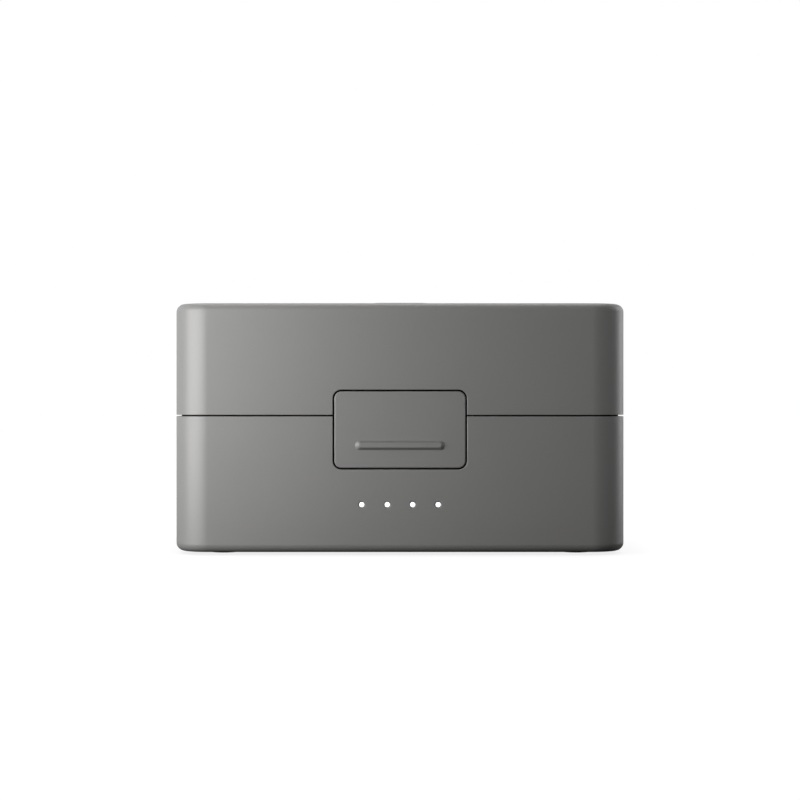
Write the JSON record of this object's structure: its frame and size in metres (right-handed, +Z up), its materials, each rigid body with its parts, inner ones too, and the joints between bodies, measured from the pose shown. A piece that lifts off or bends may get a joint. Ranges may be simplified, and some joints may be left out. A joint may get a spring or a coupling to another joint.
{
  "type": "battery charging case",
  "caption": "Small grey clamshell charging box for camera-size battery packs, with a hinged lid, a flush lift latch on the front and a row of charge lights.",
  "frame": {"origin": "middle of the overall footprint, on the surface that the feet stand on", "axes": "+X along the width, to the right seen from the front; -Y is the front with the latch and the lights; +Z up"},
  "size_m": [0.1, 0.0608, 0.0558],
  "materials": {
    "case_grey": "fine spark texture, satin",
    "inner_black": "matt moulded",
    "pack_grey": "satin moulded",
    "contact_gold": "gold plated",
    "steel": "plain",
    "foot_rubber": "matt",
    "pad_foam": "closed-cell foam",
    "light_clear": "milky, lets light through",
    "board_green": "solder mask",
    "part_black": "moulded"
  },
  "bodies": {
    "base": {"lower_case": "case_grey", "hinge_pin": "steel", "battery_tray": "inner_black", "battery_left": "pack_grey", "battery_middle": "pack_grey", "battery_right": "pack_grey", "battery_terminals_left": "contact_gold", "battery_terminals_middle": "contact_gold", "battery_terminals_right": "contact_gold", "contact_block_left": "contact_gold", "contact_block_middle": "contact_gold", "contact_block_right": "contact_gold", "main_board": "board_green", "charge_chip": "part_black", "charge_coil": "part_black", "capacitor_1": "steel", "capacitor_2": "steel", "light_guide": "light_clear", "light_emitter_1": "light_clear", "light_emitter_2": "light_clear", "light_emitter_3": "light_clear", "light_emitter_4": "light_clear", "light_board": "board_green", "charge_socket": "steel", "foot_front_left": "foot_rubber", "foot_front_right": "foot_rubber", "foot_back_left": "foot_rubber", "foot_back_right": "foot_rubber", "tray_screw_front_left": "steel", "tray_screw_front_right": "steel", "tray_screw_back_left": "steel", "tray_screw_back_right": "steel", "board_screw_front_left": "steel", "board_screw_front_right": "steel", "board_screw_back_left": "steel", "board_screw_back_right": "steel"},
    "lid": {"lid_cover": "case_grey", "lid_badge": "case_grey", "lid_liner": "inner_black", "lid_pad_left": "pad_foam", "lid_pad_middle": "pad_foam", "lid_pad_right": "pad_foam", "latch_pin": "steel", "latch_spring": "steel", "liner_screw_front_left": "steel", "liner_screw_front_right": "steel", "liner_screw_back_left": "steel", "liner_screw_back_right": "steel"},
    "latch": {"latch_lever": "case_grey"}
  },
  "joints": [
    {"name": "lid_hinge", "type": "hinge", "parent": "base", "child": "lid", "pos_m": [0, 0.0285, 0.03072], "axis": [-1, 0, 0], "range_deg": [0, 110]},
    {"name": "latch_pivot", "type": "hinge", "parent": "lid", "child": "latch", "pos_m": [0, -0.0278, 0.0337], "axis": [-1, 0, 0], "range_deg": [0, 75], "stiffness_Nm_per_rad": 0.006, "springref_deg": -20.05, "deforming": ["latch_spring"]}
  ]
}
